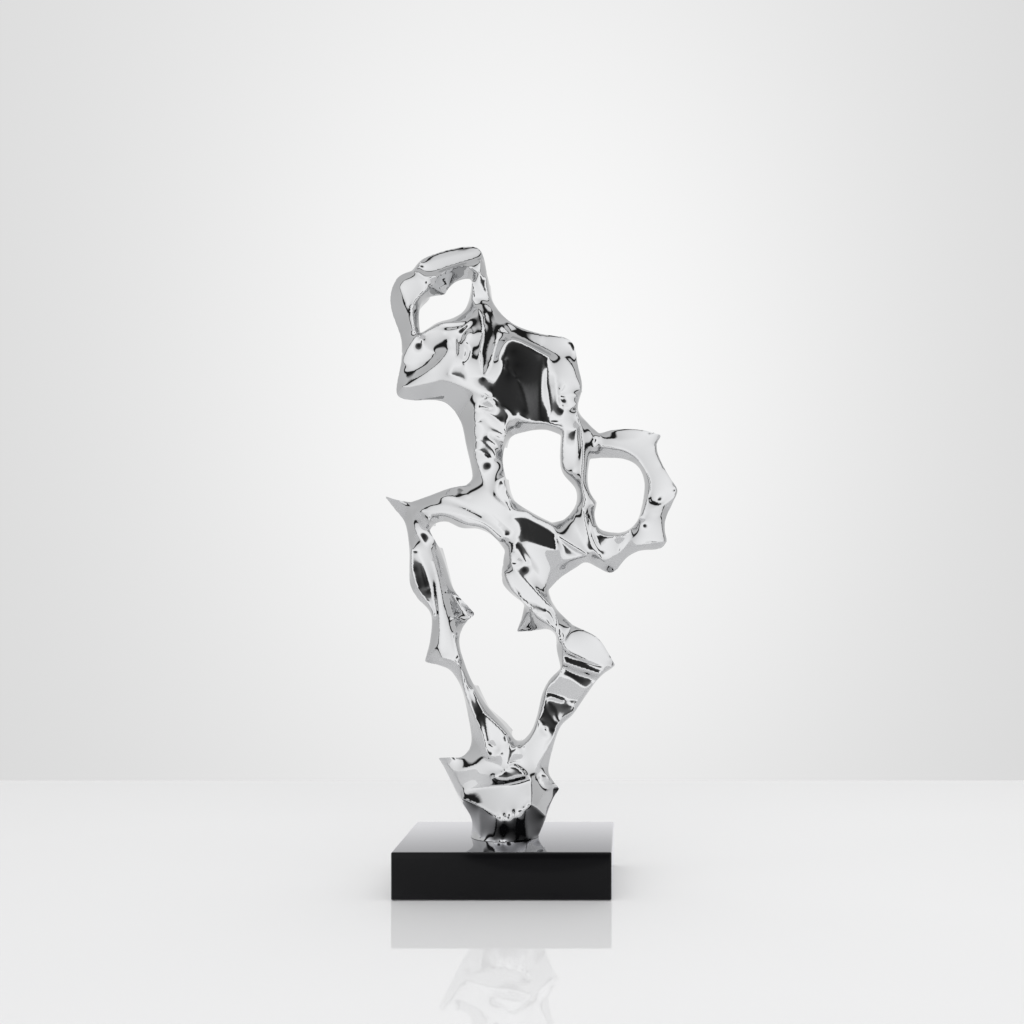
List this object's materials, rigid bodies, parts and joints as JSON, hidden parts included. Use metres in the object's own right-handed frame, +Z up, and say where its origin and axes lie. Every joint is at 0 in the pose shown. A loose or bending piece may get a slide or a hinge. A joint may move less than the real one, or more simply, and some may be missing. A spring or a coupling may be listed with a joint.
{
  "type": "abstract sculpture on a plinth",
  "caption": "Openwork abstract sculpture with a mirror-chrome finish, standing on a low rectangular gloss-black plinth.",
  "frame": {"origin": "centre of the plinth's underside", "axes": "+X to the right as seen from the front, +Y to the back, +Z up"},
  "size_m": [0.2764, 0.13, 0.6076],
  "materials": {
    "black_gloss": "polished black lacquer",
    "chrome": "mirror-bright chrome plating on cast resin"
  },
  "bodies": {
    "root": {"plinth": "black_gloss", "sculpture": "chrome"}
  },
  "joints": []
}
